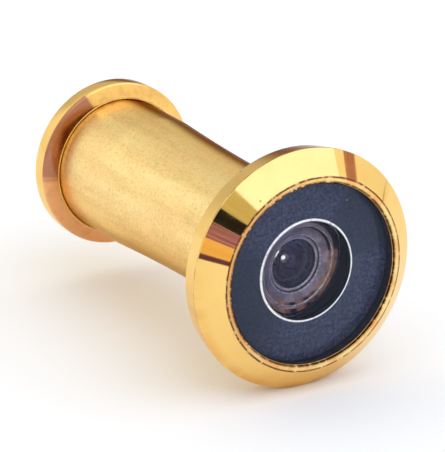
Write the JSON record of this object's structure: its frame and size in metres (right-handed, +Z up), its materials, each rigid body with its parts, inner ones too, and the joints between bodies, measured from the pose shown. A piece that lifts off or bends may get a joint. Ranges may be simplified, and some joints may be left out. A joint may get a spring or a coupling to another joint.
{
  "type": "door viewer",
  "caption": "Brass door viewer: bevelled bezel with a flat wide-angle glass, and a threaded sleeve with a flange and coin slots that clamps it in a round door hole.",
  "frame": {"origin": "on the optical axis, in the plane of the bezel's back face, which seats on the outside of the door", "axes": "+Y along the optical axis into the room, so the bezel faces -Y; +Z up when fitted in a door"},
  "size_m": [0.024, 0.0403, 0.024],
  "materials": {
    "polished_brass": "mirror-polished and lacquered",
    "satin_brass": "satin brushed",
    "dark_brass": "chemically blackened",
    "clear_glass": "polished",
    "black_rubber": "smooth matte",
    "black_plastic": "matte moulded"
  },
  "bodies": {
    "outer_half": {"front_housing": "polished_brass", "front_lens": "clear_glass", "front_gasket": "black_rubber", "lens_cell": "black_plastic", "second_lens": "clear_glass", "front_spacer": "black_plastic", "third_lens": "clear_glass", "rear_spacer": "black_plastic", "field_stop": "black_plastic", "cell_ring": "dark_brass", "glare_tube": "dark_brass"},
    "eyepiece_stage": {"eyepiece_lens": "clear_glass"},
    "inner_half": {"rear_sleeve": "satin_brass", "eyepiece_washer": "black_plastic", "eyepiece_ring": "dark_brass"}
  },
  "joints": [
    {"name": "sleeve_slide", "type": "slide", "parent": "outer_half", "child": "eyepiece_stage", "axis": [0, 1, 0], "range_m": [0, 0.02]},
    {"name": "sleeve_turn", "type": "hinge", "parent": "eyepiece_stage", "child": "inner_half", "pos_m": [0, 0, 0], "axis": [0, 1, 0], "range_deg": [0, 7200]}
  ],
  "couplings": [
    {"joint": "sleeve_slide", "follows": "sleeve_turn", "m_per_rad": 0.00015915}
  ]
}
